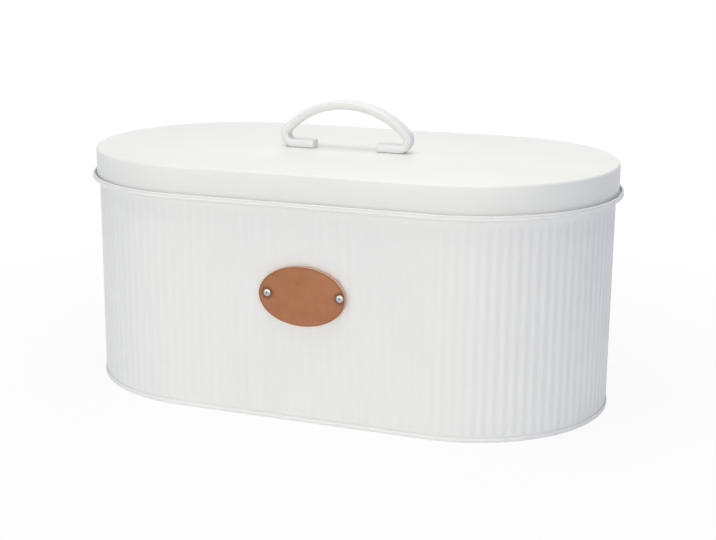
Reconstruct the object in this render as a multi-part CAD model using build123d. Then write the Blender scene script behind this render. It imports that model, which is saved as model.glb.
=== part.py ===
from build123d import *
from math import atan2, cos, pi, sin, sqrt
import os

# Oval bread box of folded sheet steel with a lift-off lid. Millimetres, +Z up.
# The origin is on the floor under the middle of the box, X runs along its length and the badge faces -Y.

# Plan: two straight sides and two half-round ends
straight_length = 177.6
wall_radius = 99.1
sheet = 0.6

# Height of the body, from the floor to the top of its rolled rim
body_height = 151.8

# Ribs pressed in the wall
rib_pitch = 6.75
rib_relief = 0.28
rib_end_relief = 0.03
rib_bottom_fade = 3.0
rib_top_fade = 7.0
rib_top_share = 0.55
rib_start_height = 4.0
rib_stop_below_ledge = 2.6

# Lap seam up the middle of the back
seam_strip_width = 16.0
seam_lap_width = 7.0
seam_joggle_width = 2.0

# Mouth of the wall: a ledge for the lid and a rolled rim around it
ledge_height = 3.6
mouth_bend_radius = 1.5
ledge_bend_radius = 0.8
roll_width = 1.7
roll_bend_radius = 0.4
roll_top_inset = 0.1
roll_waist_inset = 0.5
roll_waist_drop = 1.6
roll_bead_drop = 2.6
roll_tuck_width = 0.35
roll_tuck_height = 0.6

# Bottom: a raised panel whose edge is a channel pressed round the wall's lower edge
base_recess = 4.0
base_seam_height = 3.2
base_seam_bulge = 0.35
base_seam_straight = 1.7
seam_gap = 0.1
base_bend_radius = 1.0
base_corner_radius = 0.5
base_bulge_radius = 1.0

# Lid
lid_overhang = 2.1
lid_side_gap = 1.5
lid_rest_gap = 0.3
lid_depth = 22.05
lid_edge_radius = 2.0
hem_height = 5.0
fold_gap = 0.2
fold_share = 0.48

# Handle: one bent flat bar with rounded edges
bar_width = 10.4
bar_thickness = 6.0
bar_edge_radius = 2.4
handle_offset = -1.4
handle_span = 98.3
handle_arch_radius = 62.2
handle_bend_radius = 6.0
handle_end_gap = 47.1

# Screws and washers that hold the handle from inside the lid
screw_inset = 8.3
screw_diameter = 2.9
screw_clearance = 0.1
screw_bite = 4.2
screw_tip_gap = 0.3
screw_head_diameter = 5.5
screw_head_height = 2.0
screw_slot_width = 0.7
screw_slot_depth = 1.1
screw_slot_length = 3.4
washer_diameter = 7.0
washer_thickness = 0.5
washer_clearance = 0.3
lid_hole_clearance = 0.5

# Leather badge on the front
badge_width = 61.1
badge_height = 40.7
badge_thickness = 3.8
badge_edge_radius = 0.7
badge_offset = 4.8
badge_centre_height = 88.9
badge_tilt = 0.8
badge_seat_gap = 0.05

# Blind rivets that hold the badge
rivet_spacing = 51.5
rivet_offset = 1.6
rivet_rise = 1.1
rivet_diameter = 2.4
rivet_hole_clearance = 0.2
rivet_head_diameter = 5.2
rivet_head_height = 1.1
rivet_head_rim = 0.3
rivet_dome_fullness = 0.8
rivet_bore_diameter = 1.5
rivet_bulb_diameter = 3.8
rivet_bulb_length = 2.2
rivet_bulb_gap = 0.15
stem_gap = 0.08
stem_recess = 0.35
stem_head_diameter = 2.2
stem_head_length = 1.4

# Heights and radii that follow
half_straight = straight_length / 2
wall_inner_radius = wall_radius - sheet
lid_radius = wall_radius + lid_overhang
rim_inner_radius = lid_radius + lid_side_gap
ledge_top = body_height - ledge_height
lid_bottom = ledge_top + lid_rest_gap
lid_top = lid_bottom + lid_depth
lid_underside = lid_top - sheet
rib_stop = ledge_top - rib_stop_below_ledge
rib_full_height = rib_start_height + rib_bottom_fade
rib_fade_height = rib_stop - rib_top_fade
badge_low_height = badge_centre_height - badge_height / 2
badge_low_fade = (badge_low_height - rib_full_height) / (rib_fade_height - rib_full_height)
crest_radius = wall_radius + rib_relief * (1 - (1 - rib_top_share) * badge_low_fade)
bar_middle_height = lid_top + bar_thickness / 2


def point(radius, height):
    """A point of a section: distance out from the plan's middle line, and height."""
    return Vector(radius, 0, height)


def shifted_line(corners, shift):
    """The same bent line moved sideways by shift, to its left when positive."""
    sides = []
    for start, end in zip(corners, corners[1:]):
        along = (end - start).normalized()
        sides.append(Vector(-along.Z, 0, along.X))
    moved = [corners[0] + sides[0] * shift]
    for corner, before, after in zip(corners[1:-1], sides, sides[1:]):
        moved.append(corner + (before + after) * (shift / (1 + before.dot(after))))
    moved.append(corners[-1] + sides[-1] * shift)
    return moved


def turns_left(before, corner, after):
    """Whether a section's line bends to its left at this corner."""
    first = corner - before
    second = after - corner
    return first.X * second.Z - first.Z * second.X > 0


def sheet_section(corners, bend_radii):
    """Section of a folded sheet whose middle follows the corners, each bent to its radius."""
    lines = []
    for shift in (sheet / 2, -sheet / 2):
        radii = []
        for before, corner, after, radius in zip(corners, corners[1:], corners[2:], bend_radii):
            radii.append(radius - shift if turns_left(before, corner, after) else radius + shift)
        lines.append(FilletPolyline(*shifted_line(corners, shift), radius=radii))
    caps = [Line(lines[0] @ 0, lines[1] @ 0), Line(lines[0] @ 1, lines[1] @ 1)]
    edges = [edge for line in lines + caps for edge in line.edges()]
    return Face(Wire(edges))


def around_plan(section):
    """Carry a section once around the oval plan."""
    facing_front = Rot(Z=-90) * section
    facing_back = Rot(Z=90) * section
    right = Pos(X=half_straight) * facing_front
    left = Pos(X=-half_straight) * facing_back
    pieces = [
        revolve(right, Axis((half_straight, 0, 0), (0, 0, 1)), 180),
        revolve(left, Axis((-half_straight, 0, 0), (0, 0, 1)), 180),
        extrude(Pos(X=-half_straight) * facing_front, straight_length, dir=(1, 0, 0)),
        extrude(Pos(X=-half_straight) * facing_back, straight_length, dir=(1, 0, 0)),
    ]
    return pieces[0].fuse(*pieces[1:]).clean()


def plan_point(travel, radius, height):
    """A point on the oval of this radius, after this travel along the wall from the middle of the back."""
    end_length = pi * wall_radius
    travel = travel % (2 * straight_length + 2 * end_length)
    if travel < half_straight:
        return Vector(travel, radius, height)
    travel -= half_straight
    if travel < end_length:
        turn = travel / wall_radius
        return Vector(half_straight + radius * sin(turn), radius * cos(turn), height)
    travel -= end_length
    if travel < straight_length:
        return Vector(half_straight - travel, -radius, height)
    travel -= straight_length
    if travel < end_length:
        turn = travel / wall_radius
        return Vector(-half_straight - radius * sin(turn), -radius * cos(turn), height)
    return Vector(travel - end_length - half_straight, radius, height)


def ribbed_outline(radius, relief, lap, height):
    """Closed outline with a rib and a groove at each pitch, and a flat strip at the back for the seam."""
    around = 2 * straight_length + 2 * pi * wall_radius
    ribbed_length = around - seam_strip_width
    rib_count = round(ribbed_length / rib_pitch)
    pitch = ribbed_length / rib_count
    edges = []
    for rib in range(rib_count):
        start = seam_strip_width / 2 + rib * pitch
        for half, rise in ((0, relief), (1, -relief)):
            near = start + half * pitch / 2
            edges.append(
                ThreePointArc(
                    plan_point(near, radius, height),
                    plan_point(near + pitch / 4, radius + rise, height),
                    plan_point(near + pitch / 2, radius, height),
                )
            )
    half_strip = seam_strip_width / 2
    half_lap = seam_lap_width / 2
    if lap:
        strip = [
            (-half_strip, 0),
            (-half_lap - seam_joggle_width, 0),
            (-half_lap, lap),
            (half_lap, lap),
            (half_lap, 0),
            (half_strip, 0),
        ]
    else:
        strip = [(-half_strip, 0), (half_strip, 0)]
    corners = [Vector(place, radius + rise, height) for place, rise in strip]
    edges.append(Polyline(*corners))
    return Wire([edge for line in edges for edge in line.edges()])


def ribbed_block(radius, lap):
    """Solid block with the ribbed outline, its ribs shallower towards the top and fading out at both ends."""
    stations = [
        (rib_start_height, rib_end_relief),
        (rib_full_height, rib_relief),
        (rib_fade_height, rib_relief * rib_top_share),
        (rib_stop, rib_end_relief),
    ]
    outlines = [ribbed_outline(radius, relief, lap, height) for height, relief in stations]
    return Solid.make_loft(outlines, ruled=True)


def mouth_section():
    """Flare, ledge, upright lip and outward roll with a bead at its lower edge, at the top of the wall."""
    wall_middle = wall_radius - sheet / 2
    lip_middle = rim_inner_radius + sheet / 2
    ledge_middle = ledge_top - sheet / 2
    roll_middle = body_height - sheet / 2
    roll_outer = rim_inner_radius + roll_width - sheet / 2
    bead_height = body_height - roll_bead_drop
    corners = [
        point(wall_middle, ledge_top - rib_stop_below_ledge),
        point(wall_middle, ledge_middle),
        point(lip_middle, ledge_middle),
        point(lip_middle, roll_middle),
        point(roll_outer - roll_top_inset, roll_middle),
        point(roll_outer - roll_waist_inset, body_height - roll_waist_drop),
        point(roll_outer, bead_height),
        point(roll_outer - roll_tuck_width, bead_height - roll_tuck_height),
    ]
    return sheet_section(corners, [mouth_bend_radius, ledge_bend_radius] + [roll_bend_radius] * 4)


def plain_block(radius, bottom, top):
    """Solid block with the plain oval outline."""
    outline = SlotCenterToCenter(straight_length, 2 * radius)
    return extrude(Pos(Z=bottom) * outline, top - bottom)


def make_wall_foot():
    """Plain lower edge of the wall, which stands in the bottom's channel."""
    bottom = sheet + seam_gap
    outside = plain_block(wall_radius, bottom, rib_start_height)
    inside = plain_block(wall_inner_radius, bottom, rib_start_height)
    return outside - inside


def badge_place():
    """Plane on the badge's back: its X axis runs along the badge and its Z axis points out of the box."""
    return Plane(
        origin=(badge_offset, -crest_radius - badge_seat_gap, badge_centre_height),
        x_dir=(1, 0, 0),
        z_dir=(0, -1, 0),
    ) * Rot(Z=badge_tilt)


def rivet_places():
    """Where each rivet's axis leaves the badge's front face."""
    for side in (-1, 1):
        yield badge_place() * Pos(rivet_offset + side * rivet_spacing / 2, rivet_rise, badge_thickness)


def rivet_holes():
    """Cutters for the two holes through the badge and the wall."""
    radius = rivet_diameter / 2 + rivet_hole_clearance / 2
    length = badge_thickness + badge_seat_gap + 2 * rib_relief + 4 * sheet
    return [place * Cylinder(radius, 2 * length) for place in rivet_places()]


def make_bin_wall():
    outside = ribbed_block(wall_radius, sheet)
    inside = ribbed_block(wall_inner_radius, 0)
    wall = outside - inside
    wall = wall + around_plan(mouth_section()) + make_wall_foot()
    for hole in rivet_holes():
        wall = wall - hole
    return wall


def make_base_pan():
    inner_leg = wall_inner_radius - seam_gap - sheet / 2
    outer_edge = wall_radius + seam_gap + sheet / 2
    outer_leg = outer_edge + base_seam_bulge
    bottom = sheet / 2
    panel = base_recess + sheet / 2
    corners = [
        point(0, panel),
        point(inner_leg, panel),
        point(inner_leg, bottom),
        point(outer_leg, bottom),
        point(outer_leg, base_seam_straight),
        point(outer_edge, base_seam_height),
    ]
    bends = [base_bend_radius, base_corner_radius, base_corner_radius, base_bulge_radius]
    return around_plan(sheet_section(corners, bends))


def make_lid_pan():
    panel = lid_top - sheet / 2
    skirt = lid_radius - sheet / 2
    hem = skirt - sheet - fold_gap
    bottom = lid_bottom + sheet / 2
    fold_radius = fold_share * (skirt - hem)
    corners = [
        point(0, panel),
        point(skirt, panel),
        point(skirt, bottom),
        point(hem, bottom),
        point(hem, bottom + hem_height),
    ]
    lid = around_plan(sheet_section(corners, [lid_edge_radius - sheet / 2, fold_radius, fold_radius]))
    hole_radius = screw_diameter / 2 + lid_hole_clearance / 2
    for place in screw_places():
        lid = lid - Pos(place, 0, lid_top) * Cylinder(hole_radius, 4 * sheet)
    return lid


def screw_places():
    """Where the two screws stand along X, in the middle of the handle's two ends."""
    reach = handle_end_gap / 2 + screw_inset
    return [handle_offset - reach, handle_offset + reach]


def handle_line():
    """Middle line of the bar: an arch, a tight bend at each end, and two ends that lie along the lid."""
    half_span = handle_span / 2 - bar_thickness / 2
    bend_x = half_span - handle_bend_radius
    bend_z = bar_middle_height + handle_bend_radius
    reach = handle_arch_radius - handle_bend_radius
    arch_z = bend_z - sqrt(reach**2 - bend_x**2)
    lean = atan2(bend_z - arch_z, bend_x)

    def on_bend(side, angle):
        x = side * (bend_x + handle_bend_radius * cos(angle))
        return Vector(x, 0, bend_z + handle_bend_radius * sin(angle))

    halfway = (lean - pi / 2) / 2
    lines = [Line((-handle_end_gap / 2, 0, bar_middle_height), (-bend_x, 0, bar_middle_height))]
    lines.append(ThreePointArc(on_bend(-1, -pi / 2), on_bend(-1, halfway), on_bend(-1, lean)))
    lines.append(
        ThreePointArc(on_bend(-1, lean), (0, 0, arch_z + handle_arch_radius), on_bend(1, lean))
    )
    lines.append(ThreePointArc(on_bend(1, lean), on_bend(1, halfway), on_bend(1, -pi / 2)))
    lines.append(Line((bend_x, 0, bar_middle_height), (handle_end_gap / 2, 0, bar_middle_height)))
    return Wire([edge for line in lines for edge in line.edges()])


def make_handle():
    line = handle_line()
    start = Plane(origin=line @ 0, x_dir=(0, 1, 0), z_dir=line % 0)
    section = RectangleRounded(bar_width, bar_thickness, bar_edge_radius)
    bar = Pos(handle_offset, 0, 0) * sweep(start * section, path=line)
    hole_radius = screw_diameter / 2 + screw_clearance / 2
    hole_depth = screw_bite + screw_tip_gap
    for place in screw_places():
        hole = Cylinder(hole_radius, hole_depth, align=(Align.CENTER, Align.CENTER, Align.MIN))
        bar = bar - Pos(place, 0, lid_top) * hole
    return bar


def make_screw():
    """Pan-head screw pointing up, its head's upper face at height zero."""
    upward = (Align.CENTER, Align.CENTER, Align.MIN)
    downward = (Align.CENTER, Align.CENTER, Align.MAX)
    shank_length = washer_thickness + sheet + screw_bite
    head = Cylinder(screw_head_diameter / 2, screw_head_height, align=downward)
    head = fillet(head.edges().sort_by(Axis.Z)[0], screw_head_height / 2)
    screw = head + Cylinder(screw_diameter / 2, shank_length, align=upward)
    slot = Box(screw_slot_length, screw_slot_width, screw_slot_depth, align=upward)
    for turn in (0, 90):
        screw = screw - Pos(Z=-screw_head_height) * Rot(Z=turn) * slot
    return screw


def make_handle_screws():
    seat = lid_underside - washer_thickness
    return [Pos(place, 0, seat) * make_screw() for place in screw_places()]


def make_handle_washers():
    downward = (Align.CENTER, Align.CENTER, Align.MAX)
    hole_radius = screw_diameter / 2 + washer_clearance / 2
    washer = Cylinder(washer_diameter / 2, washer_thickness, align=downward)
    washer = washer - Cylinder(hole_radius, 4 * washer_thickness)
    return [Pos(place, 0, lid_underside) * washer for place in screw_places()]


def make_badge():
    face = Ellipse(badge_width / 2, badge_height / 2)
    badge = extrude(badge_place() * face, badge_thickness)
    front = badge.faces().sort_by(Axis.Y)[0]
    badge = fillet(front.edges(), badge_edge_radius)
    for hole in rivet_holes():
        badge = badge - hole
    return badge


def rivet_grip():
    """Length from the badge's front face to the inside of the wall's deepest groove."""
    return badge_thickness + badge_seat_gap + 2 * rib_relief + sheet


def spun_piece(line):
    """Turn a closed outline in the XZ plane about the Z axis."""
    return revolve(Face(Wire(line.edges())), Axis.Z)


def make_rivet():
    """Set blind rivet along Z: domed head above zero, blind bulb at the lower end, hollow all through."""
    bore = rivet_bore_diameter / 2
    shank = rivet_diameter / 2
    head = rivet_head_diameter / 2
    bulb = rivet_bulb_diameter / 2
    bulb_top = -rivet_grip() - rivet_bulb_gap
    bulb_end = bulb_top - rivet_bulb_length
    dome_x = (head + bore) / 2
    dome_z = rivet_head_rim + (rivet_head_height - rivet_head_rim) * rivet_dome_fullness
    outline = Polyline(
        point(bore, rivet_head_height),
        point(bore, bulb_end),
        point(shank, bulb_end),
        point(bulb, bulb_end + rivet_bulb_length / 3),
        point(bulb, bulb_top - rivet_bulb_length / 3),
        point(shank, bulb_top),
        point(shank, 0),
        point(head, 0),
        point(head, rivet_head_rim),
    )
    dome = ThreePointArc(point(head, rivet_head_rim), point(dome_x, dome_z), point(bore, rivet_head_height))
    return spun_piece(Curve() + [outline, dome])


def make_stem():
    """What is left of the rivet's pulling stem: a broken shaft with its head beyond the bulb."""
    shaft = rivet_bore_diameter / 2 - stem_gap
    head = stem_head_diameter / 2
    top = rivet_head_height - stem_recess
    head_top = -rivet_grip() - rivet_bulb_gap - rivet_bulb_length - stem_gap
    head_end = head_top - stem_head_length
    outline = Polyline(
        point(0, top),
        point(shaft, top),
        point(shaft, head_top),
        point(head, head_top),
        point(head, head_end + stem_head_length / 3),
        point(shaft, head_end),
        point(0, head_end),
        close=True,
    )
    return spun_piece(outline)


def make_badge_rivets():
    return [place * make_rivet() for place in rivet_places()]


def make_rivet_stems():
    return [place * make_stem() for place in rivet_places()]


makers = {
    "bin_wall": make_bin_wall,
    "base_pan": make_base_pan,
    "badge": make_badge,
    "badge_rivets": make_badge_rivets,
    "rivet_stems": make_rivet_stems,
    "lid_pan": make_lid_pan,
    "handle": make_handle,
    "handle_screws": make_handle_screws,
    "handle_washers": make_handle_washers,
}

os.makedirs("parts", exist_ok=True)
for node, make in makers.items():
    made = make()
    shape = Compound(children=made) if isinstance(made, list) else made
    export_step(shape, f"parts/{node}.step")
    print(node, round(shape.volume, 1))
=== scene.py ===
import math

import bmesh
import bpy
from mathutils import Matrix, Vector


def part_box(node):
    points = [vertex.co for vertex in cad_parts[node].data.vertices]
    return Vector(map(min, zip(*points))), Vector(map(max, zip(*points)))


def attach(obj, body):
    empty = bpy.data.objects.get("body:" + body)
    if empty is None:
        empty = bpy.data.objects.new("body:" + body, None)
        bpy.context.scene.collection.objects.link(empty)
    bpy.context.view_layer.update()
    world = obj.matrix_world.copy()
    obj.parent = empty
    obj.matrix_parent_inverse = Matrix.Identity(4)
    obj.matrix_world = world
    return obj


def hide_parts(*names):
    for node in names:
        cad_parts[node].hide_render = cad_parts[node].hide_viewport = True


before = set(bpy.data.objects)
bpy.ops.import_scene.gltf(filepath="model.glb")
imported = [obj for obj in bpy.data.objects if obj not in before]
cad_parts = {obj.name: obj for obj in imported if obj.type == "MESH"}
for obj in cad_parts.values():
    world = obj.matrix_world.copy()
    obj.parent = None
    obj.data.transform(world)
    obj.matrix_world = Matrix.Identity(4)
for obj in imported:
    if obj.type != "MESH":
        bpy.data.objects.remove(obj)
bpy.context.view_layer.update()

MM = 0.001

# Meshing
MERGE_DISTANCE = 0.5e-6
SHARP_DEGREES = 35
BADGE_SHARP_DEGREES = 50
RIVET_SHARP_DEGREES = 40

# Sizes read from the frame, in metres
lid_low, lid_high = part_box("lid_pan")
wall_low, wall_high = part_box("bin_wall")
base_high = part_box("base_pan")[1]
badge_low, badge_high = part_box("badge")
handle_low, handle_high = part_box("handle")

# Sheet work, the same folds as the frame's
SHEET = 0.6 * MM
FOLD_GAP = 0.2 * MM
SEAM_GAP = 0.1 * MM
FOLD_SHARE = 0.48
EDGE_ROUNDING = 0.25 * MM
EDGE_STEPS = 6
LID_OVERHANG = 2.1 * MM
LID_SIDE_GAP = 1.5 * MM
LID_EDGE_RADIUS = 2.0 * MM
HEM_HEIGHT = 5.0 * MM
LEDGE_HEIGHT = 3.6 * MM
MOUTH_BEND_RADIUS = 1.5 * MM
LEDGE_BEND_RADIUS = 0.8 * MM
ROLL_WIDTH = 1.7 * MM
ROLL_BEND_RADIUS = 0.4 * MM
ROLL_TOP_INSET = 0.1 * MM
ROLL_WAIST_INSET = 0.5 * MM
ROLL_WAIST_DROP = 1.6 * MM
ROLL_BEAD_DROP = 2.6 * MM
ROLL_TUCK_WIDTH = 0.35 * MM
ROLL_TUCK_HEIGHT = 0.6 * MM
BASE_SEAM_HEIGHT = 3.2 * MM
BASE_SEAM_BULGE = 0.35 * MM
BASE_SEAM_STRAIGHT = 1.7 * MM
BASE_BEND_RADIUS = 1.0 * MM
BASE_CORNER_RADIUS = 0.5 * MM
BASE_BULGE_RADIUS = 1.0 * MM

# Ribs and the back seam
RIB_PITCH = 6.75 * MM
RIB_RELIEF = 0.28 * MM
RIB_START_HEIGHT = 4.0 * MM
RIB_STOP_BELOW_LEDGE = 2.6 * MM
RIB_BOTTOM_FADE = 3.0 * MM
RIB_TOP_FADE = 7.0 * MM
RIB_TOP_SHARE = 0.55
RIB_FADE_ROWS = 6
RIB_COLUMNS = 12
COARSE_STEP = 4
SEAM_STRIP_WIDTH = 16.0 * MM
SEAM_LAP_WIDTH = 7.0 * MM
SEAM_JOGGLE_WIDTH = 2.0 * MM
SEAM_EDGE_WIDTH = 0.04 * MM
SEAM_JOGGLE_SHARES = (0.67, 0.33, 0.0)

# Plan shared by wall, bottom and lid
lid_radius = lid_high.y
half_straight = lid_high.x - lid_high.y
straight_length = 2 * half_straight
wall_radius = lid_radius - LID_OVERHANG
end_length = math.pi * wall_radius
around = 2 * straight_length + 2 * end_length
rim_inner_radius = lid_radius + LID_SIDE_GAP
rim_top = wall_high.z
ledge_top = rim_top - LEDGE_HEIGHT
rib_stop_height = ledge_top - RIB_STOP_BELOW_LEDGE
END_STEPS = 96
STRAIGHT_STEPS = 12
BEND_STEPS = 5

# Handle bar
BAR_THICKNESS = 6.0 * MM
BAR_EDGE_RADIUS = 2.4 * MM
BAR_EDGE_STEPS = 7
BAR_END_ROUNDING = 0.6 * MM
BAR_END_STEPS = 4
HANDLE_END_GAP = 47.1 * MM
HANDLE_ARCH_RADIUS = 62.2 * MM
HANDLE_BEND_RADIUS = 6.0 * MM
HANDLE_BEND_STEPS = 18
HANDLE_ARCH_STEPS = 48

# Leather badge and its rivets
BADGE_TILT = math.radians(0.8)
BADGE_WIDTH = 61.1 * MM
BADGE_HEIGHT = 40.7 * MM
BADGE_EDGE_RADIUS = 0.7 * MM
BADGE_EDGE_STEPS = 6
BADGE_STEPS = 180
BADGE_FACE_SHARES = (0.0, 0.2, 0.4, 0.5, 0.6, 0.66, 0.7, 0.73, 0.76, 0.79, 0.82, 0.85, 0.88, 0.91, 0.94)
BADGE_CUT_SHARE = 0.45
BADGE_BACK_BEVEL = 0.3 * MM
BADGE_BACK_INSET_SHARE = 0.3
BADGE_BACK_SHARES = (0.5, 0.0)
RIVET_SPACING = 51.5 * MM
RIVET_OFFSET = 1.6 * MM
RIVET_RISE = 1.1 * MM
RIVET_HEAD_RADIUS = 2.6 * MM
RIVET_HEAD_HEIGHT = 1.1 * MM
RIVET_BORE_RADIUS = 0.69 * MM
RIVET_SHANK_RADIUS = 1.2 * MM
RIVET_BULB_RADIUS = 1.9 * MM
RIVET_GRIP = 5.01 * MM
RIVET_BULB_GAP = 0.15 * MM
RIVET_BULB_LENGTH = 2.2 * MM
RIVET_BORE_CHAMFER_WIDTH = 0.1 * MM
RIVET_BORE_CHAMFER_DEPTH = 0.12 * MM
RIVET_RIM_HEIGHT = 0.25 * MM
RIVET_RIM_CHAMFER = 0.1 * MM
RIVET_DOME_STEPS = 10
RIVET_DOME_POWER = 2.4
RIVET_BULB_STEPS = 8
RIVET_BULB_POWER = 0.7
RIVET_SIDES = 32
DIMPLE_DEPTH = 0.3 * MM
DIMPLE_RADIUS = 3.6 * MM
DIMPLE_FALL = 2
DIMPLED_SHARE = 0.6

# Powder coat. Sizes are in millimetres, each noise is (detail, roughness)
RIPPLE_SIZE = 0.9
DRIFT_SIZE = 60.0
RIPPLE_NOISE = (2.0, 0.5)
DRIFT_NOISE = (3.0, 0.55)
COAT_TONE_STOPS = (0.32, 0.68)
COAT_GLOSS_CHANGE = 0.05
COAT_SPECULAR = 0.5

# Leather and steel. Each noise is (scale per metre, detail, roughness)
MOTTLE_NOISE = (70.0, 4.0, 0.6)
CREASE_NOISE = (900.0, 3.0, 0.6)
FIBRE_NOISE = (1400.0, 3.0, 0.7)
TURNING_NOISE = (2500.0, 3.0, 0.6)
PORE_SCALE = 1800.0
PORE_DEPTH = 0.6
CREASE_SHADES = (0.94, 1.05)
# Painted shade round the rivets, together with burnished leather: its strength and reach
RIVET_SHADE_AND_BURNISH = 0.75
RIVET_SHADE_AND_BURNISH_REACH = (2.6 * MM, 5.6 * MM)
# The face darker towards its rim: how much and over which share of the oval
RIM_DARKENING = 0.3
RIM_DARKENING_REACH = (0.94, 0.975)
CUT_EDGE_FACING = (0.3, 0.75)
CUT_EDGE_ROUGHNESS = 0.3
LEATHER_ROUGHNESS = (0.62, 0.5)
LEATHER_SPECULAR = 0.3
STEEL_MARK_STOPS = (0.35, 0.65)
STEEL_MARK_SHADE = 0.82
STEEL_GLOSS_CHANGE = (-0.06, 0.08)

# All finishes. The span holds most of a noise's values, and each bump is (strength, distance)
NOISE_SPAN = (0.3, 0.7)
COAT_BUMP = (0.35, 0.02 * MM)
LEATHER_BUMP = (0.45, 0.06 * MM)
STEEL_BUMP = (0.2, 0.02 * MM)

# Camera, from the fit to the photograph's outlines
CAMERA_PLACE = (0.34560, -0.94917, 0.34336)
CAMERA_YAW = 0.401705
CAMERA_PITCH = -0.253064
CAMERA_ROLL = 0.006950
PHOTO_WIDTH = 716
FOCAL_PIXELS = 1433.47
SHIFT_PIXELS = 83.17
SENSOR_WIDTH = 36.0

# Stage
LAMP_AIM = Vector((0, 0, 0.1))
WHITE = (1.0, 1.0, 1.0, 1.0)
FLOOR_COLOUR = (0.95, 0.95, 0.95, 1.0)
FLOOR_REACH = 12.0
FLOOR_WHITE_SHARE = 0.88
FLOOR_FADE = (0.22, 0.5)
SKY_COLOUR = (0.53, 0.53, 1.0, 1.0)
SKY_STRENGTH = 0.19

# Softboxes: name, place, width, height, power in watts, colour
SOFTBOXES = [
    ("top_softbox", (-0.1, -0.6, 2.0), 1.8, 1.2, 11.0, (1.0, 0.973, 0.973)),
    ("near_top_softbox", (0.0, 0.0, 1.1), 1.0, 0.8, 4.2, (0.976, 1.0, 0.714)),
    ("low_front_softbox", (-0.1, -2.0, 0.45), 1.8, 0.8, 7.8, (1.0, 0.974, 0.731)),
    ("front_right_softbox", (1.6, -2.0, 1.0), 1.6, 1.6, 14.1, (1.0, 0.986, 0.915)),
    ("front_left_softbox", (-1.8, -1.9, 1.0), 1.6, 1.6, 10.4, (0.885, 0.913, 1.0)),
    ("right_softbox", (2.5, -0.3, 0.9), 1.6, 1.6, 2.7, (0.333, 0.444, 1.0)),
    ("left_softbox", (-2.5, -0.3, 0.9), 1.6, 1.6, 2.0, (1.0, 1.0, 1.0)),
    ("back_softbox", (0.0, 1.8, 1.8), 2.0, 1.6, 9.0, (1.0, 1.0, 1.0)),
]


def srgb(red, green, blue):
    """Linear colour, opaque, from screen values of 0 to 255."""
    levels = []
    for value in (red, green, blue):
        level = value / 255
        levels.append(level / 12.92 if level <= 0.04045 else ((level + 0.055) / 1.055) ** 2.4)
    return (*levels, 1.0)


LEATHER_TONES = [(0.3, srgb(168, 110, 74)), (0.5, srgb(174, 116, 80)), (0.72, srgb(180, 122, 86))]
# Dark leather tone, used for the painted shade with burnish round the rivets and for the darker rim
LEATHER_DARK = srgb(96, 58, 34)
RAW_EDGE_TONES = [(0.35, srgb(196, 150, 120)), (0.7, srgb(226, 192, 166))]


# Section and plan geometry


def eased(share):
    """Share from 0 to 1 with a soft start and end."""
    return share * share * (3 - 2 * share)


def shifted_corners(corners, shift):
    """The bent line moved sideways by shift, to its left when positive."""
    sides = []
    for start, end in zip(corners, corners[1:]):
        along = (end - start).normalized()
        sides.append(Vector((-along.y, along.x)))
    moved = [corners[0] + sides[0] * shift]
    for corner, before, after in zip(corners[1:-1], sides, sides[1:]):
        moved.append(corner + (before + after) * (shift / (1 + before.dot(after))))
    moved.append(corners[-1] + sides[-1] * shift)
    return moved


def rounded_line(corners, radii):
    """Points along a line whose corners are rounded to these radii."""
    points = [corners[0].copy()]
    for before, corner, after, radius in zip(corners, corners[1:], corners[2:], radii):
        into = (corner - before).normalized()
        out = (after - corner).normalized()
        turn = math.atan2(into.x * out.y - into.y * out.x, into.dot(out))
        reach = radius * math.tan(abs(turn) / 2)
        side = 1 if turn > 0 else -1
        centre = corner - into * reach + Vector((-into.y, into.x)) * side * radius
        spoke = corner - into * reach - centre
        for step in range(BEND_STEPS + 1):
            angle = turn * step / BEND_STEPS
            c, s = math.cos(angle), math.sin(angle)
            points.append(centre + Vector((spoke.x * c - spoke.y * s, spoke.x * s + spoke.y * c)))
    points.append(corners[-1].copy())
    return points


def sheet_sides(corners, bend_radii):
    """Left and right faces of a folded sheet along the corners, short of its rounded cut edge."""
    corners = [Vector(corner) for corner in corners]
    corners[-1] -= (corners[-1] - corners[-2]).normalized() * EDGE_ROUNDING
    faces = []
    for shift in (SHEET / 2, -SHEET / 2):
        radii = []
        for before, corner, after, radius in zip(corners, corners[1:], corners[2:], bend_radii):
            first, second = corner - before, after - corner
            left = first.x * second.y - first.y * second.x > 0
            radii.append(radius - shift if left else radius + shift)
        faces.append(rounded_line(shifted_corners(corners, shift), radii))
    return faces


def rounded_edge(left, right):
    """Points round a sheet's cut edge, between the ends of its left and right faces."""
    middle = (left + right) / 2
    half = (left - right) / 2
    reach = Vector((half.y, -half.x)).normalized() * EDGE_ROUNDING
    angles = [math.pi * step / EDGE_STEPS for step in range(1, EDGE_STEPS)]
    return [middle + half * math.cos(angle) + reach * math.sin(angle) for angle in angles]


def plan_place(travel):
    """Point on the plan's middle line and the outward direction, at this travel along the wall."""
    travel = travel % around
    if travel < half_straight:
        return Vector((travel, 0, 0)), Vector((0, 1, 0))
    travel -= half_straight
    if travel < end_length:
        turn = travel / wall_radius
        return Vector((half_straight, 0, 0)), Vector((math.sin(turn), math.cos(turn), 0))
    travel -= end_length
    if travel < straight_length:
        return Vector((half_straight - travel, 0, 0)), Vector((0, -1, 0))
    travel -= straight_length
    if travel < end_length:
        turn = travel / wall_radius
        return Vector((-half_straight, 0, 0)), Vector((-math.sin(turn), -math.cos(turn), 0))
    return Vector((travel - end_length - half_straight, 0, 0)), Vector((0, 1, 0))


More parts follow.
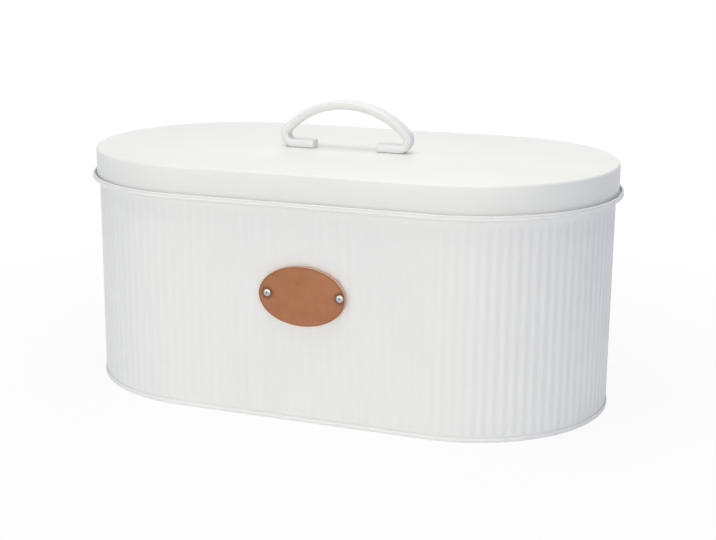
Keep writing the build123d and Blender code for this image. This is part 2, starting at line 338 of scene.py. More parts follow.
def even_stations():
    """Travels for a plain sheet: close steps round the ends, wide ones on the straights."""
    stations = []
    start = 0.0
    for length, steps in (
        (half_straight, STRAIGHT_STEPS // 2),
        (end_length, END_STEPS),
        (straight_length, STRAIGHT_STEPS),
        (end_length, END_STEPS),
        (half_straight, STRAIGHT_STEPS // 2),
    ):
        stations += [start + length * step / steps for step in range(steps)]
        start += length
    return stations


# Meshes


def add_object(name, data):
    """New object in the scene, at the origin."""
    obj = bpy.data.objects.new(name, data)
    bpy.context.scene.collection.objects.link(obj)
    return obj


def finish_mesh(name, mesh, sharp_degrees=SHARP_DEGREES):
    """Put a finished mesh in the scene as a smooth-shaded object."""
    mesh.shade_smooth()
    mesh.set_sharp_from_angle(angle=math.radians(sharp_degrees))
    return add_object(name, mesh)


def clean_mesh(builder, name):
    """Merge doubled points, drop empty faces, point all faces outward and return the mesh."""
    bmesh.ops.remove_doubles(builder, verts=builder.verts, dist=MERGE_DISTANCE)
    bmesh.ops.dissolve_degenerate(builder, edges=builder.edges, dist=MERGE_DISTANCE)
    bmesh.ops.recalc_face_normals(builder, faces=builder.faces)
    mesh = bpy.data.meshes.new(name)
    builder.to_mesh(mesh)
    builder.free()
    return mesh


def join_rings(builder, near, far):
    """Faces between two closed rings, of which one may have COARSE_STEP times as many points."""
    fine, coarse = (near, far) if len(near) >= len(far) else (far, near)
    count = len(fine) // len(coarse)
    for column, first in enumerate(coarse):
        last = coarse[(column + 1) % len(coarse)]
        edge = [fine[(column * count + step) % len(fine)] for step in range(count + 1)]
        if count == 1:
            builder.faces.new((*edge, last, first))
            continue
        # A fan from each coarse point, so that no triangle lies along one straight edge
        for step, (before, after) in enumerate(zip(edge, edge[1:])):
            builder.faces.new((before, after, first if step < count // 2 else last))
        builder.faces.new((edge[count // 2], last, first))


def swept_sheet(name, corners, bend_radii):
    """A folded sheet carried round the plan. A section that starts at radius zero makes a panel."""
    left, right = sheet_sides(corners, bend_radii)
    from_middle = corners[0][0] == 0
    loop = left + rounded_edge(left[-1], right[-1]) + right[::-1]
    stations = even_stations()
    builder = bmesh.new()
    rings = []
    for place in loop:
        ring = []
        for travel in stations:
            middle, outward = plan_place(travel)
            ring.append(builder.verts.new(middle + outward * place.x + Vector((0, 0, place.y))))
        rings.append(ring)
    count = len(loop) - 1 if from_middle else len(loop)
    for row in range(count):
        join_rings(builder, rings[row], rings[(row + 1) % len(rings)])
    return finish_mesh(name, clean_mesh(builder, name))


# Sheet pieces


def lid_sheet():
    """Flat panel, rounded edge, skirt and a hem folded up inside it."""
    panel = lid_high.z - SHEET / 2
    skirt = lid_radius - SHEET / 2
    hem = skirt - SHEET - FOLD_GAP
    bottom = lid_low.z + SHEET / 2
    fold = FOLD_SHARE * (skirt - hem)
    corners = [
        (0, panel),
        (skirt, panel),
        (skirt, bottom),
        (hem, bottom),
        (hem, bottom + HEM_HEIGHT),
    ]
    return swept_sheet("lid_shell", corners, [LID_EDGE_RADIUS - SHEET / 2, fold, fold])


def bottom_sheet():
    """Raised panel whose edge is a channel pressed round the wall's lower edge."""
    inner_leg = wall_radius - SHEET - SEAM_GAP - SHEET / 2
    outer_leg = base_high.y - SHEET / 2
    bottom = SHEET / 2
    panel = base_high.z - SHEET / 2
    corners = [
        (0, panel),
        (inner_leg, panel),
        (inner_leg, bottom),
        (outer_leg, bottom),
        (outer_leg, BASE_SEAM_STRAIGHT),
        (outer_leg - BASE_SEAM_BULGE, BASE_SEAM_HEIGHT),
    ]
    bends = [BASE_BEND_RADIUS, BASE_CORNER_RADIUS, BASE_CORNER_RADIUS, BASE_BULGE_RADIUS]
    return swept_sheet("bottom_shell", corners, bends)


def wall_rows():
    """The wall's closed section as rows: radius, height, whether ribbed, rib share, whether outside."""
    wall_middle = wall_radius - SHEET / 2
    lip_middle = rim_inner_radius + SHEET / 2
    ledge_middle = ledge_top - SHEET / 2
    roll_middle = rim_top - SHEET / 2
    roll_outer = rim_inner_radius + ROLL_WIDTH - SHEET / 2
    bead_height = rim_top - ROLL_BEAD_DROP
    mouth = [
        (wall_middle, rib_stop_height),
        (wall_middle, ledge_middle),
        (lip_middle, ledge_middle),
        (lip_middle, roll_middle),
        (roll_outer - ROLL_TOP_INSET, roll_middle),
        (roll_outer - ROLL_WAIST_INSET, rim_top - ROLL_WAIST_DROP),
        (roll_outer, bead_height),
        (roll_outer - ROLL_TUCK_WIDTH, bead_height - ROLL_TUCK_HEIGHT),
    ]
    mouth_bends = [MOUTH_BEND_RADIUS, LEDGE_BEND_RADIUS] + [ROLL_BEND_RADIUS] * 4
    mouth_inner, mouth_outer = sheet_sides(mouth, mouth_bends)
    mouth_end = rounded_edge(mouth_inner[-1], mouth_outer[-1])
    foot = [Vector((wall_radius, wall_low.z)), Vector((wall_radius - SHEET, wall_low.z))]

    def plain(points):
        return [(place.x, place.y, False, 0.0, False) for place in points]

    def ribbed(radius, outside):
        rows = []
        for step in range(RIB_FADE_ROWS + 1):
            share = step / RIB_FADE_ROWS
            height = RIB_START_HEIGHT + share * RIB_BOTTOM_FADE
            rows.append((radius, height, True, eased(share), outside))
        for step in range(RIB_FADE_ROWS + 1):
            share = 1 - step / RIB_FADE_ROWS
            height = rib_stop_height - share * RIB_TOP_FADE
            rows.append((radius, height, True, eased(share) * RIB_TOP_SHARE, outside))
        return rows

    rows = ribbed(wall_radius - SHEET, False) + plain(mouth_inner[1:] + mouth_end)
    rows += plain(mouth_outer[::-1][:-1]) + ribbed(wall_radius, True)[::-1] + plain(foot)
    return rows


def rib_stations():
    """Travels of the wall's columns, with the back seam's first, and the ribs' pitch."""
    ribbed_length = around - SEAM_STRIP_WIDTH
    rib_count = round(ribbed_length / RIB_PITCH)
    pitch = ribbed_length / rib_count
    half_lap = SEAM_LAP_WIDTH / 2
    half_strip = SEAM_STRIP_WIDTH / 2
    joggle = half_lap + SEAM_JOGGLE_WIDTH
    strip = [-half_strip, -(half_strip + joggle) / 2, -joggle]
    strip += [-half_lap - SEAM_JOGGLE_WIDTH * share for share in SEAM_JOGGLE_SHARES]
    strip += [-half_lap / 3, half_lap / 3, half_lap - SEAM_EDGE_WIDTH, half_lap]
    strip += [(2 * half_lap + half_strip) / 3, (half_lap + 2 * half_strip) / 3]
    ribs = [half_strip + pitch * column / RIB_COLUMNS for column in range(rib_count * RIB_COLUMNS)]
    return strip + ribs, pitch


def lap_rise(travel):
    """How far the overlapping sheet end stands out, across the back seam."""
    place = travel if travel < around / 2 else travel - around
    half_lap = SEAM_LAP_WIDTH / 2
    if place > half_lap - SEAM_EDGE_WIDTH / 2 or place < -half_lap - SEAM_JOGGLE_WIDTH:
        return 0.0
    share = min(1.0, (place + half_lap + SEAM_JOGGLE_WIDTH) / SEAM_JOGGLE_WIDTH)
    return SHEET * eased(share)


def plain_wall_mesh():
    """The wall before its ribs are pressed, with the values that their tree reads, and their pitch."""
    stations, pitch = rib_stations()
    rows = wall_rows()
    builder = bmesh.new()
    travel_layer = builder.verts.layers.float.new("travel")
    share_layer = builder.verts.layers.float.new("rib_share")
    outward_layer = builder.verts.layers.float_vector.new("outward")
    rings = []
    for radius, height, ribbed, share, outside in rows:
        ring = []
        for travel in stations if ribbed else stations[::COARSE_STEP]:
            middle, outward = plan_place(travel)
            reach = radius + (lap_rise(travel % around) if outside else 0)
            vertex = builder.verts.new(middle + outward * reach + Vector((0, 0, height)))
            in_strip = travel < SEAM_STRIP_WIDTH / 2
            vertex[travel_layer] = travel - SEAM_STRIP_WIDTH / 2
            vertex[share_layer] = 0.0 if in_strip else share
            vertex[outward_layer] = outward
            ring.append(vertex)
        rings.append(ring)
    for row, near in enumerate(rings):
        join_rings(builder, near, rings[(row + 1) % len(rings)])
    return clean_mesh(builder, "wall_shell"), pitch


# Nodes


def new_tree(name, kind, inputs, outputs):
    """A node tree with named sockets. Each socket is (name, socket type, default or None)."""
    tree = bpy.data.node_groups.new(name, kind)
    for direction, sockets in (("INPUT", inputs), ("OUTPUT", outputs)):
        for label, socket_type, default in sockets:
            socket = tree.interface.new_socket(name=label, in_out=direction, socket_type=socket_type)
            if default is not None:
                socket.default_value = default
    tree.nodes.new("NodeGroupInput")
    tree.nodes.new("NodeGroupOutput")
    return tree


def add_node(tree, kind, links=None, **settings):
    """Add a node, set its properties and fill its inputs from values or other nodes' outputs."""
    node = tree.nodes.new(kind)
    for key, value in settings.items():
        setattr(node, key, value)
    for key, value in (links or {}).items():
        if isinstance(value, bpy.types.NodeSocket):
            tree.links.new(value, node.inputs[key])
        else:
            node.inputs[key].default_value = value
    return node


def math_node(tree, operation, first, second=0.0):
    """Output of one math step."""
    return add_node(tree, "ShaderNodeMath", {0: first, 1: second}, operation=operation).outputs[0]


def tree_ends(tree):
    """The tree's own input and output nodes."""
    start = next(node for node in tree.nodes if node.type == "GROUP_INPUT")
    end = next(node for node in tree.nodes if node.type == "GROUP_OUTPUT")
    return start, end


def set_modifier_inputs(modifier, values):
    """Set a geometry tree's named inputs by their identifiers."""
    for item in modifier.node_group.interface.items_tree:
        if item.item_type == "SOCKET" and item.in_out == "INPUT" and item.name in values:
            modifier[item.identifier] = values[item.name]


def finish_tree(tree, geometry):
    """Make the geometry real, give it the tree's finish and send it out."""
    start, end = tree_ends(tree)
    real = add_node(tree, "GeometryNodeRealizeInstances", {"Geometry": geometry})
    links = {"Geometry": real.outputs[0], "Material": start.outputs["Finish"]}
    coated = add_node(tree, "GeometryNodeSetMaterial", links)
    tree.links.new(coated.outputs[0], end.inputs["Geometry"])
    return tree


def baked(obj, name, tree, values, sharp_degrees=SHARP_DEGREES):
    """Run a geometry tree on an object and keep the result as a plain mesh piece."""
    modifier = obj.modifiers.new("shaping", "NODES")
    modifier.node_group = tree
    set_modifier_inputs(modifier, values)
    evaluated = obj.evaluated_get(bpy.context.evaluated_depsgraph_get())
    mesh = bpy.data.meshes.new_from_object(evaluated)
    mesh.name = name
    obj.modifiers.remove(modifier)
    bpy.data.objects.remove(obj)
    return finish_mesh(name, mesh, sharp_degrees)


# Ribs pressed into the wall


def pressed_ribs_tree():
    """Tree that moves each point outward in a wave along its travel, as ribbing rollers do."""
    tree = new_tree(
        "Pressed ribs",
        "GeometryNodeTree",
        [
            ("Geometry", "NodeSocketGeometry", None),
            ("Pitch", "NodeSocketFloat", RIB_PITCH),
            ("Relief", "NodeSocketFloat", RIB_RELIEF),
            ("Finish", "NodeSocketMaterial", None),
        ],
        [("Geometry", "NodeSocketGeometry", None)],
    )
    start = tree_ends(tree)[0]

    def named(name, data_type):
        kind = "GeometryNodeInputNamedAttribute"
        return add_node(tree, kind, {"Name": name}, data_type=data_type).outputs[0]

    ribs_along = math_node(tree, "DIVIDE", named("travel", "FLOAT"), start.outputs["Pitch"])
    phase = math_node(tree, "MULTIPLY", ribs_along, 2 * math.pi)
    wave = math_node(tree, "SINE", phase)
    height = math_node(tree, "MULTIPLY", wave, start.outputs["Relief"])
    faded = math_node(tree, "MULTIPLY", height, named("rib_share", "FLOAT"))
    direction = named("outward", "FLOAT_VECTOR")
    offset = add_node(tree, "ShaderNodeVectorMath", {0: direction, "Scale": faded}, operation="SCALE")
    links = {"Geometry": start.outputs["Geometry"], "Offset": offset.outputs[0]}
    moved = add_node(tree, "GeometryNodeSetPosition", links)
    return finish_tree(tree, moved.outputs[0])


def ribbed_wall(finish):
    """The wall with its ribs pressed in."""
    mesh, pitch = plain_wall_mesh()
    blank = add_object("wall_blank", mesh)
    values = {"Pitch": pitch, "Relief": RIB_RELIEF, "Finish": finish}
    return baked(blank, "ribbed_wall", pressed_ribs_tree(), values)


# Handle


def handle_line():
    """Points along the bar's middle, from one end to the other."""
    middle = (handle_high.x + handle_low.x) / 2
    bar_height = lid_high.z + BAR_THICKNESS / 2
    bend_x = (handle_high.x - handle_low.x) / 2 - BAR_THICKNESS / 2 - HANDLE_BEND_RADIUS
    bend_z = bar_height + HANDLE_BEND_RADIUS
    reach = HANDLE_ARCH_RADIUS - HANDLE_BEND_RADIUS
    arch_z = bend_z - math.sqrt(reach**2 - bend_x**2)
    lean = math.atan2(bend_z - arch_z, bend_x)

    def arc(centre_x, centre_z, radius, start, end, steps):
        spots = []
        for step in range(steps + 1):
            angle = start + (end - start) * step / steps
            x = middle + centre_x + radius * math.cos(angle)
            spots.append(Vector((x, 0, centre_z + radius * math.sin(angle))))
        return spots

    points = [Vector((middle - HANDLE_END_GAP / 2, 0, bar_height))]
    down = -math.pi / 2
    points += arc(-bend_x, bend_z, HANDLE_BEND_RADIUS, down, -math.pi - lean, HANDLE_BEND_STEPS)
    points += arc(0, arch_z, HANDLE_ARCH_RADIUS, math.pi - lean, lean, HANDLE_ARCH_STEPS)[1:]
    points += arc(bend_x, bend_z, HANDLE_BEND_RADIUS, lean, down, HANDLE_BEND_STEPS)[1:]
    points.append(Vector((middle + HANDLE_END_GAP / 2, 0, bar_height)))
    return points


def bar_section(inset):
    """Rounded outline of the bar as (across, outward) points, drawn in by inset."""
    across = (handle_high.y - handle_low.y) / 2 - inset
    outward = BAR_THICKNESS / 2 - inset
    radius = BAR_EDGE_RADIUS - inset
    outline = []
    for turn, (side, up) in enumerate(((1, 1), (-1, 1), (-1, -1), (1, -1))):
        for step in range(BAR_EDGE_STEPS + 1):
            angle = math.pi / 2 * (turn + step / BAR_EDGE_STEPS)
            outline.append((
                side * (across - radius) + radius * math.cos(angle),
                up * (outward - radius) + radius * math.sin(angle),
            ))
    return outline


def handle_bar():
    """One bent flat bar whose cut ends have rounded rims."""
    points = handle_line()
    directions = []
    for index in range(len(points)):
        before = points[max(index - 1, 0)]
        after = points[min(index + 1, len(points) - 1)]
        directions.append((after - before).normalized())
    end_rings = []
    for step in range(BAR_END_STEPS + 1):
        angle = math.pi / 2 * step / BAR_END_STEPS
        inset = BAR_END_ROUNDING * (1 - math.sin(angle))
        back = BAR_END_ROUNDING * (1 - math.cos(angle))
        end_rings.append((inset, back))
    first, last = directions[0], directions[-1]
    stations = [(points[0] + first * back, first, inset) for inset, back in end_rings]
    stations += [(spot, along, 0.0) for spot, along in zip(points[1:-1], directions[1:-1])]
    stations += [(points[-1] - last * back, last, inset) for inset, back in end_rings[::-1]]
    builder = bmesh.new()
    sideways = Vector((0, 1, 0))
    rings = []
    for spot, along, inset in stations:
        outward = sideways.cross(along)
        ring = [builder.verts.new(spot + sideways * y + outward * z) for y, z in bar_section(inset)]
        rings.append(ring)
    for near, far in zip(rings, rings[1:]):
        join_rings(builder, near, far)
    builder.faces.new(rings[0])
    builder.faces.new(rings[-1])
    return finish_mesh("handle_bar", clean_mesh(builder, "handle_bar"))


# Badge


def badge_matrix():
    """From the badge's own plane, with Z out of the box from the badge's back, to the frame."""
    across = (badge_low.x + badge_high.x) / 2
    height = (badge_low.z + badge_high.z) / 2
    centre = Vector((across, badge_high.y, height))
    upright = Matrix.Rotation(math.pi / 2, 4, "X")
    tilt = Matrix.Rotation(BADGE_TILT, 4, "Z")
    return Matrix.Translation(centre) @ upright @ tilt


def rivet_spots():
    """The two rivets' places in the badge's own plane."""
    return [Vector((RIVET_OFFSET + side * RIVET_SPACING / 2, RIVET_RISE)) for side in (-1, 1)]


def badge_profile(thickness):
    """Rings from the middle of the badge's front to the middle of its back: share of the oval, depth."""
    profile = [(share, thickness) for share in BADGE_FACE_SHARES]
    inset = BADGE_EDGE_RADIUS / (BADGE_HEIGHT / 2)
    for step in range(BADGE_EDGE_STEPS + 1):
        angle = math.pi / 2 * step / BADGE_EDGE_STEPS
        share = 1 - inset * (1 - math.sin(angle))
        profile.append((share, thickness - BADGE_EDGE_RADIUS * (1 - math.cos(angle))))
    profile += [(1.0, thickness * BADGE_CUT_SHARE), (1.0, BADGE_BACK_BEVEL)]
    profile.append((1 - inset * BADGE_BACK_INSET_SHARE, 0.0))
    return profile + [(share, 0.0) for share in BADGE_BACK_SHARES]


def badge_leather():
    """Oval of thick leather: cut edge, rounded front rim, and a dimple pressed under each rivet."""
    thickness = badge_high.y - badge_low.y
    builder = bmesh.new()
    rim_layer = builder.verts.layers.float.new("rim_share")
    rivet_layer = builder.verts.layers.float.new("rivet_distance")
    rings = []
    for share, depth in badge_profile(thickness):
        ring = []
        for step in range(BADGE_STEPS):
            angle = 2 * math.pi * step / BADGE_STEPS
            across = share * BADGE_WIDTH / 2 * math.cos(angle)
            up = share * BADGE_HEIGHT / 2 * math.sin(angle)
            place = Vector((across, up))
            away = min((place - spot).length for spot in rivet_spots())
            height = depth
            if depth > thickness * DIMPLED_SHARE:
                height -= DIMPLE_DEPTH * math.exp(-DIMPLE_FALL * (away / DIMPLE_RADIUS) ** 2)
            vertex = builder.verts.new((place.x, place.y, height))
            vertex[rim_layer] = share
            vertex[rivet_layer] = away
            ring.append(vertex)
        rings.append(ring)
    for near, far in zip(rings, rings[1:]):
        join_rings(builder, near, far)
    bmesh.ops.transform(builder, matrix=badge_matrix(), verts=builder.verts)
    return finish_mesh("badge_leather", clean_mesh(builder, "badge_leather"), BADGE_SHARP_DEGREES)


# Fasteners set by a geometry tree


def spun_mesh(name, outline, sides):
    """Mesh of an outline of (radius, height) points turned about Z."""
    builder = bmesh.new()
    rings = []
    for radius, height in outline:
        ring = []
        for side in range(sides):
            angle = 2 * math.pi * side / sides
            ring.append(builder.verts.new((radius * math.cos(angle), radius * math.sin(angle), height)))
        rings.append(ring)
    for near, far in zip(rings, rings[1:]):
        join_rings(builder, near, far)
    return clean_mesh(builder, name)


def set_fasteners_tree():
    """Tree that sets one fastener at each point, all turned the same way."""
    tree = new_tree(
        "Set fasteners",
        "GeometryNodeTree",
        [
            ("Geometry", "NodeSocketGeometry", None),
            ("Fastener", "NodeSocketObject", None),
            ("Turn", "NodeSocketRotation", None),
            ("Finish", "NodeSocketMaterial", None),
        ],
        [("Geometry", "NodeSocketGeometry", None)],
    )
    start = tree_ends(tree)[0]
    template = add_node(tree, "GeometryNodeObjectInfo", {"Object": start.outputs["Fastener"]})
    links = {
        "Points": start.outputs["Geometry"],
        "Instance": template.outputs["Geometry"],
        "Rotation": start.outputs["Turn"],
    }
    placed = add_node(tree, "GeometryNodeInstanceOnPoints", links)
    return finish_tree(tree, placed.outputs[0])


def set_fasteners(name, template_mesh, spots, turn, finish, tree):
    """Copies of one fastener at the spots, as one piece."""
    template = add_object(name + "_template", template_mesh)
    points = bpy.data.meshes.new(name + "_spots")
    points.from_pydata([tuple(spot) for spot in spots], [], [])
    carrier = add_object(name + "_carrier", points)
    values = {"Fastener": template, "Turn": turn, "Finish": finish}
    piece = baked(carrier, name, tree, values, RIVET_SHARP_DEGREES)
    bpy.data.objects.remove(template)
    return piece


def rivet_outline():
    """Set blind rivet, from the edge of its bore over the domed head and down to the blind bulb."""
    bulb_top = -RIVET_GRIP - RIVET_BULB_GAP
    bulb_end = bulb_top - RIVET_BULB_LENGTH
    outline = [
        (RIVET_BORE_RADIUS, bulb_end),
        (RIVET_BORE_RADIUS, RIVET_HEAD_HEIGHT - RIVET_BORE_CHAMFER_DEPTH),
    ]
    dome_start = RIVET_BORE_RADIUS + RIVET_BORE_CHAMFER_WIDTH
    dome_height = RIVET_HEAD_HEIGHT - RIVET_RIM_HEIGHT
    for step in range(RIVET_DOME_STEPS + 1):
        share = step / RIVET_DOME_STEPS
        radius = dome_start + (RIVET_HEAD_RADIUS - dome_start) * share
        rise = dome_height * math.sqrt(max(0.0, 1 - share**RIVET_DOME_POWER))
        outline.append((radius, RIVET_RIM_HEIGHT + rise))
    outline += [
        (RIVET_HEAD_RADIUS, RIVET_RIM_CHAMFER),
        (RIVET_HEAD_RADIUS - RIVET_RIM_CHAMFER, 0.0),
        (RIVET_SHANK_RADIUS, 0.0),
        (RIVET_SHANK_RADIUS, bulb_top),
    ]
    for step in range(RIVET_BULB_STEPS + 1):
        share = step / RIVET_BULB_STEPS
        swell = (RIVET_BULB_RADIUS - RIVET_SHANK_RADIUS) * math.sin(math.pi * share) ** RIVET_BULB_POWER
        outline.append((RIVET_SHANK_RADIUS + swell, bulb_top - RIVET_BULB_LENGTH * share))
    outline.append((RIVET_BORE_RADIUS, bulb_end))
    return outline


def badge_rivets(finish, tree):
    """The two rivets, with their heads on the badge's front."""
    to_frame = badge_matrix()
    front = badge_high.y - badge_low.y
    spots = [to_frame @ Vector((spot.x, spot.y, front)) for spot in rivet_spots()]
    turn = to_frame.to_euler()
    template = spun_mesh("rivet", rivet_outline(), RIVET_SIDES)
    return set_fasteners("rivet_heads", template, spots, turn, finish, tree)


# Finishes


def noise(tree, place, scale, detail, roughness):
    """Value of a noise texture at this place."""
    links = {"Vector": place, "Scale": scale, "Detail": detail, "Roughness": roughness}
    return add_node(tree, "ShaderNodeTexNoise", links).outputs["Fac"]


def bumped(tree, shader, height, strength, distance):
    """Tilt the shader's normal by this height."""
    links = {"Height": height, "Strength": strength, "Distance": distance}
    bump = add_node(tree, "ShaderNodeBump", links)
    tree.links.new(bump.outputs["Normal"], shader.inputs["Normal"])


def orange_peel_group():
    """Fine ripple of a powder coat, as a height, with a slow drift for tone and gloss."""
    tree = new_tree(
        "Orange peel",
        "ShaderNodeTree",
        [("Ripple size", "NodeSocketFloat", RIPPLE_SIZE), ("Drift size", "NodeSocketFloat", DRIFT_SIZE)],
        [("Height", "NodeSocketFloat", None), ("Drift", "NodeSocketFloat", None)],
    )
    start, end = tree_ends(tree)
    place = add_node(tree, "ShaderNodeTexCoord").outputs["Object"]
    ripple_scale = math_node(tree, "DIVIDE", 1 / MM, start.outputs["Ripple size"])
    drift_scale = math_node(tree, "DIVIDE", 1 / MM, start.outputs["Drift size"])
    tree.links.new(noise(tree, place, ripple_scale, *RIPPLE_NOISE), end.inputs["Height"])
    tree.links.new(noise(tree, place, drift_scale, *DRIFT_NOISE), end.inputs["Drift"])
    return tree


def new_material(name):
    """New material with its tree and shader."""
    material = bpy.data.materials.new(name)
    material.use_nodes = True
    tree = material.node_tree
    shader = next(node for node in tree.nodes if node.type == "BSDF_PRINCIPLED")
    return material, tree, shader


def ramp(tree, factor, stops):
    """Colour ramp node with these (place, colour) stops."""
    node = add_node(tree, "ShaderNodeValToRGB", {"Fac": factor})
    band = node.color_ramp
    while len(band.elements) < len(stops):
        band.elements.new(0.5)
    for element, (place, colour) in zip(band.elements, stops):
        element.position = place
        element.color = colour
    return node.outputs["Color"]


def value_range(tree, value, low, high, from_low=0.0, from_high=1.0):
    """The value carried from one range to another."""
    links = {"Value": value, "From Min": from_low, "From Max": from_high, "To Min": low, "To Max": high}
    return add_node(tree, "ShaderNodeMapRange", links).outputs["Result"]


def coat_finish(name, peel, dark, light, roughness, ripple_size):
    """Satin powder coat: two near tones that drift, fine orange peel, and gloss that varies a little."""
    material, tree, shader = new_material(name)
    skin = add_node(tree, "ShaderNodeGroup", node_tree=peel)
    skin.inputs["Ripple size"].default_value = ripple_size
    drift = skin.outputs["Drift"]
    tone = ramp(tree, drift, list(zip(COAT_TONE_STOPS, (dark, light))))
    tree.links.new(tone, shader.inputs["Base Color"])
    dull, glossy = roughness + COAT_GLOSS_CHANGE, roughness - COAT_GLOSS_CHANGE
    tree.links.new(value_range(tree, drift, dull, glossy, *NOISE_SPAN), shader.inputs["Roughness"])
    bumped(tree, shader, skin.outputs["Height"], *COAT_BUMP)
    shader.inputs["Specular IOR Level"].default_value = COAT_SPECULAR
    return material


def attribute(tree, name):
    """Value of a mesh attribute."""
    return add_node(tree, "ShaderNodeAttribute", attribute_name=name).outputs["Fac"]


def mixed(tree, factor, first, second, blend="MIX"):
    """Blend of two colours."""
    node = add_node(tree, "ShaderNodeMix", data_type="RGBA", blend_type=blend)
    for key, value in (("Factor_Float", factor), ("A_Color", first), ("B_Color", second)):
        socket = next(item for item in node.inputs if item.identifier == key)
        if isinstance(value, bpy.types.NodeSocket):
            tree.links.new(value, socket)
        else:
            socket.default_value = value
    return next(item for item in node.outputs if item.identifier == "Result_Color")


def leather_finish():
    """Tan leather: pores and creases, painted shade with burnish round the rivets, darker towards the
    rim, pale cut edge.
    """
    material, tree, shader = new_material("Tan leather")
    place = add_node(tree, "ShaderNodeTexCoord").outputs["Object"]
    mottle = noise(tree, place, *MOTTLE_NOISE)
    creases = noise(tree, place, *CREASE_NOISE)
    pores = add_node(tree, "ShaderNodeTexVoronoi", {"Vector": place, "Scale": PORE_SCALE}, feature="F1")
    fibres = noise(tree, place, *FIBRE_NOISE)
    grain = value_range(tree, creases, *CREASE_SHADES, *NOISE_SPAN)
    face = mixed(tree, 1.0, ramp(tree, mottle, LEATHER_TONES), grain, "MULTIPLY")

    # Painted shade round each rivet, together with burnished leather, stronger near the head
    rivet_distance = attribute(tree, "rivet_distance")
    rivet_shade_and_burnish = value_range(tree, rivet_distance, RIVET_SHADE_AND_BURNISH, 0.0, *RIVET_SHADE_AND_BURNISH_REACH)
    face = mixed(tree, rivet_shade_and_burnish, face, LEATHER_DARK)
    # The face darker towards its rim
    rim = value_range(tree, attribute(tree, "rim_share"), 0.0, RIM_DARKENING, *RIM_DARKENING_REACH)
    face = mixed(tree, rim, face, LEATHER_DARK)
    # The face looks along the box's Y axis and the cut edge across it
    facing = add_node(tree, "ShaderNodeNewGeometry").outputs["Normal"]
    outward = add_node(tree, "ShaderNodeSeparateXYZ", {"Vector": facing}).outputs["Y"]
    edge = value_range(tree, math_node(tree, "ABSOLUTE", outward), 1.0, 0.0, *CUT_EDGE_FACING)
    raw = ramp(tree, fibres, RAW_EDGE_TONES)
    tree.links.new(mixed(tree, edge, face, raw), shader.inputs["Base Color"])

    dents = math_node(tree, "MULTIPLY", pores.outputs["Distance"], PORE_DEPTH)
    height = math_node(tree, "ADD", creases, dents)
    height = math_node(tree, "ADD", height, math_node(tree, "MULTIPLY", edge, fibres))
    bumped(tree, shader, height, *LEATHER_BUMP)
    gloss = value_range(tree, mottle, *LEATHER_ROUGHNESS, *NOISE_SPAN)
    gloss = math_node(tree, "ADD", gloss, math_node(tree, "MULTIPLY", edge, CUT_EDGE_ROUGHNESS))
    tree.links.new(gloss, shader.inputs["Roughness"])
    shader.inputs["Specular IOR Level"].default_value = LEATHER_SPECULAR
    return material


def steel_finish(name, colour, roughness):
    """Bright plated steel with fine turning marks."""
    material, tree, shader = new_material(name)
    place = add_node(tree, "ShaderNodeTexCoord").outputs["Object"]
    marks = noise(tree, place, *TURNING_NOISE)
    darker = tuple(channel * STEEL_MARK_SHADE for channel in colour[:3]) + (1.0,)
    tone = ramp(tree, marks, list(zip(STEEL_MARK_STOPS, (darker, colour))))
    tree.links.new(tone, shader.inputs["Base Color"])
    glossy, dull = (roughness + change for change in STEEL_GLOSS_CHANGE)
    tree.links.new(value_range(tree, marks, glossy, dull), shader.inputs["Roughness"])
    bumped(tree, shader, marks, *STEEL_BUMP)
    shader.inputs["Metallic"].default_value = 1.0
    return material


# Stage, light and camera


def seen_directly(tree):
    """One where the camera, a reflection or glass looks, zero where light is gathered."""
    path = add_node(tree, "ShaderNodeLightPath")
    either = math_node(tree, "MAXIMUM", path.outputs["Is Camera Ray"], path.outputs["Is Glossy Ray"])
    return math_node(tree, "MAXIMUM", either, path.outputs["Is Transmission Ray"])


def floor_finish():
    """Pale floor that keeps the object's soft shadow, and is plain white to the camera further out."""
    material = bpy.data.materials.new("Pale floor")
    material.use_nodes = True
    tree = material.node_tree
    tree.nodes.clear()
    matte = add_node(tree, "ShaderNodeBsdfDiffuse", {"Color": FLOOR_COLOUR})
    white = add_node(tree, "ShaderNodeEmission", {"Color": WHITE, "Strength": 1.0})
    place = add_node(tree, "ShaderNodeTexCoord").outputs["Object"]
    length = add_node(tree, "ShaderNodeVectorMath", {0: place}, operation="LENGTH")
    distance = length.outputs["Value"]
    white_share = value_range(tree, distance, FLOOR_WHITE_SHARE, 1.0, *FLOOR_FADE)
    share = math_node(tree, "MULTIPLY", seen_directly(tree), white_share)
    both = add_node(tree, "ShaderNodeMixShader", {0: share, 1: matte.outputs[0], 2: white.outputs[0]})
    output = add_node(tree, "ShaderNodeOutputMaterial")
    tree.links.new(both.outputs[0], output.inputs["Surface"])
    return material


def white_surround():
    """Soft even sky, plain white where the camera, gloss or glass looks at it."""
    world = bpy.data.worlds.new("Soft surround")
    bpy.context.scene.world = world
    world.use_nodes = True
    tree = world.node_tree
    tree.nodes.clear()
    sky = add_node(tree, "ShaderNodeBackground", {"Color": SKY_COLOUR, "Strength": SKY_STRENGTH})
    white = add_node(tree, "ShaderNodeBackground", {"Color": WHITE, "Strength": 1.0})
    shares = {0: seen_directly(tree), 1: sky.outputs[0], 2: white.outputs[0]}
    both = add_node(tree, "ShaderNodeMixShader", shares)
    output = add_node(tree, "ShaderNodeOutputWorld")
    tree.links.new(both.outputs[0], output.inputs["Surface"])


def softbox(name, place, width, height, power, colour):
    """Soft rectangular lamp that looks at the middle of the box."""
    light = bpy.data.lights.new(name, "AREA")
    light.shape = "RECTANGLE"
    light.size = width
    light.size_y = height
    light.energy = power
    light.color = colour
    lamp = add_object(name, light)
    lamp.location = place
    lamp.rotation_euler = (LAMP_AIM - Vector(place)).to_track_quat("-Z", "Y").to_euler()


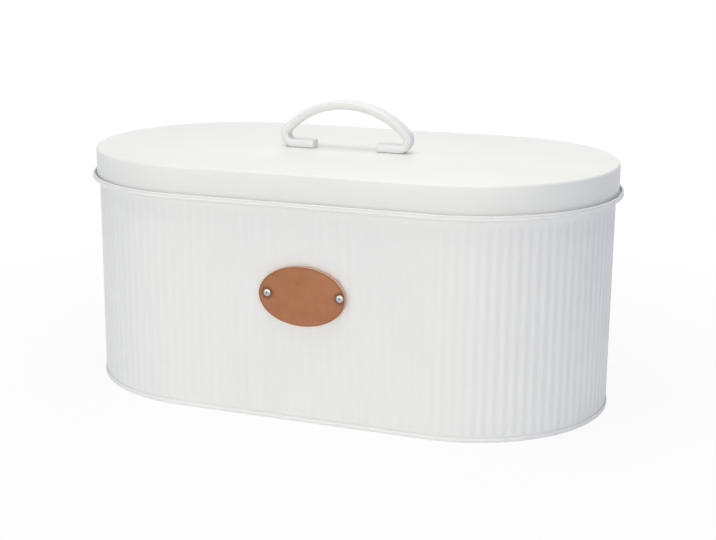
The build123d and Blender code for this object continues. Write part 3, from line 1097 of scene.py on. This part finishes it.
def pale_floor():
    """Large floor plane under the box."""
    mesh = bpy.data.meshes.new("floor")
    corners = [(x * FLOOR_REACH, y * FLOOR_REACH, 0) for x, y in ((-1, -1), (1, -1), (1, 1), (-1, 1))]
    mesh.from_pydata(corners, [], [(0, 1, 2, 3)])
    floor = add_object("floor", mesh)
    floor.data.materials.append(floor_finish())


def photo_camera():
    """The photograph's camera."""
    data = bpy.data.cameras.new("camera")
    data.sensor_width = SENSOR_WIDTH
    data.lens = FOCAL_PIXELS / PHOTO_WIDTH * SENSOR_WIDTH
    data.shift_x = SHIFT_PIXELS / PHOTO_WIDTH
    camera = add_object("camera", data)
    turn = Matrix.Rotation(CAMERA_YAW, 4, "Z") @ Matrix.Rotation(CAMERA_PITCH, 4, "X")
    turn = turn @ Matrix.Rotation(CAMERA_ROLL, 4, "Y") @ Matrix.Rotation(math.pi / 2, 4, "X")
    camera.matrix_world = Matrix.Translation(CAMERA_PLACE) @ turn
    bpy.context.scene.camera = camera


# Finishes of this box

peel = orange_peel_group()
body_coat = coat_finish(
    "Body coat",
    peel,
    dark=srgb(238, 239, 238),
    light=srgb(241, 242, 240),
    roughness=0.42,
    ripple_size=RIPPLE_SIZE,
)
# The body's coat, a touch warmer as painted warm light from the top lamps
warm_lit_lid_coat = coat_finish(
    "Lid coat with painted warm light",
    peel,
    dark=srgb(238, 239, 236),
    light=srgb(241, 242, 239),
    roughness=0.42,
    ripple_size=RIPPLE_SIZE,
)
# The body's coat, its tones set darker as painted shade on the bar
shaded_bar_coat = coat_finish(
    "Handle coat with painted shade",
    peel,
    dark=srgb(231, 231, 231),
    light=srgb(236, 236, 235),
    roughness=0.35,
    ripple_size=0.7,
)
leather = leather_finish()
rivet_steel = steel_finish("Rivet steel", srgb(192, 194, 199), roughness=0.3)
stem_steel = steel_finish("Stem steel", srgb(138, 141, 148), roughness=0.5)
screw_steel = steel_finish("Screw steel", srgb(205, 207, 210), roughness=0.35)

# Pieces, each with the body it rides on, the CAD piece it stands for and its material slot

wall = ribbed_wall(body_coat)
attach(wall, "bin")
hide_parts("bin_wall")

bottom = bottom_sheet()
bottom.data.materials.append(body_coat)
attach(bottom, "bin")
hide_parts("base_pan")

lid = lid_sheet()
lid.data.materials.append(warm_lit_lid_coat)
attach(lid, "lid")
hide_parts("lid_pan")

handle = handle_bar()
handle.data.materials.append(shaded_bar_coat)
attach(handle, "lid")
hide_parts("handle")

badge = badge_leather()
badge.data.materials.append(leather)
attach(badge, "bin")
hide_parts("badge")

fastener_tree = set_fasteners_tree()
rivets = badge_rivets(rivet_steel, fastener_tree)
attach(rivets, "bin")
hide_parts("badge_rivets")

# Steel pieces that keep the frame's shape and get only a finish

hidden_steel = {"rivet_stems": stem_steel, "handle_screws": screw_steel, "handle_washers": screw_steel}
for node, finish in hidden_steel.items():
    for material_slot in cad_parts[node].material_slots:
        material_slot.material = finish

# Picture

bpy.context.scene.view_settings.view_transform = "Standard"
pale_floor()
white_surround()
for lamp in SOFTBOXES:
    softbox(*lamp)
photo_camera()
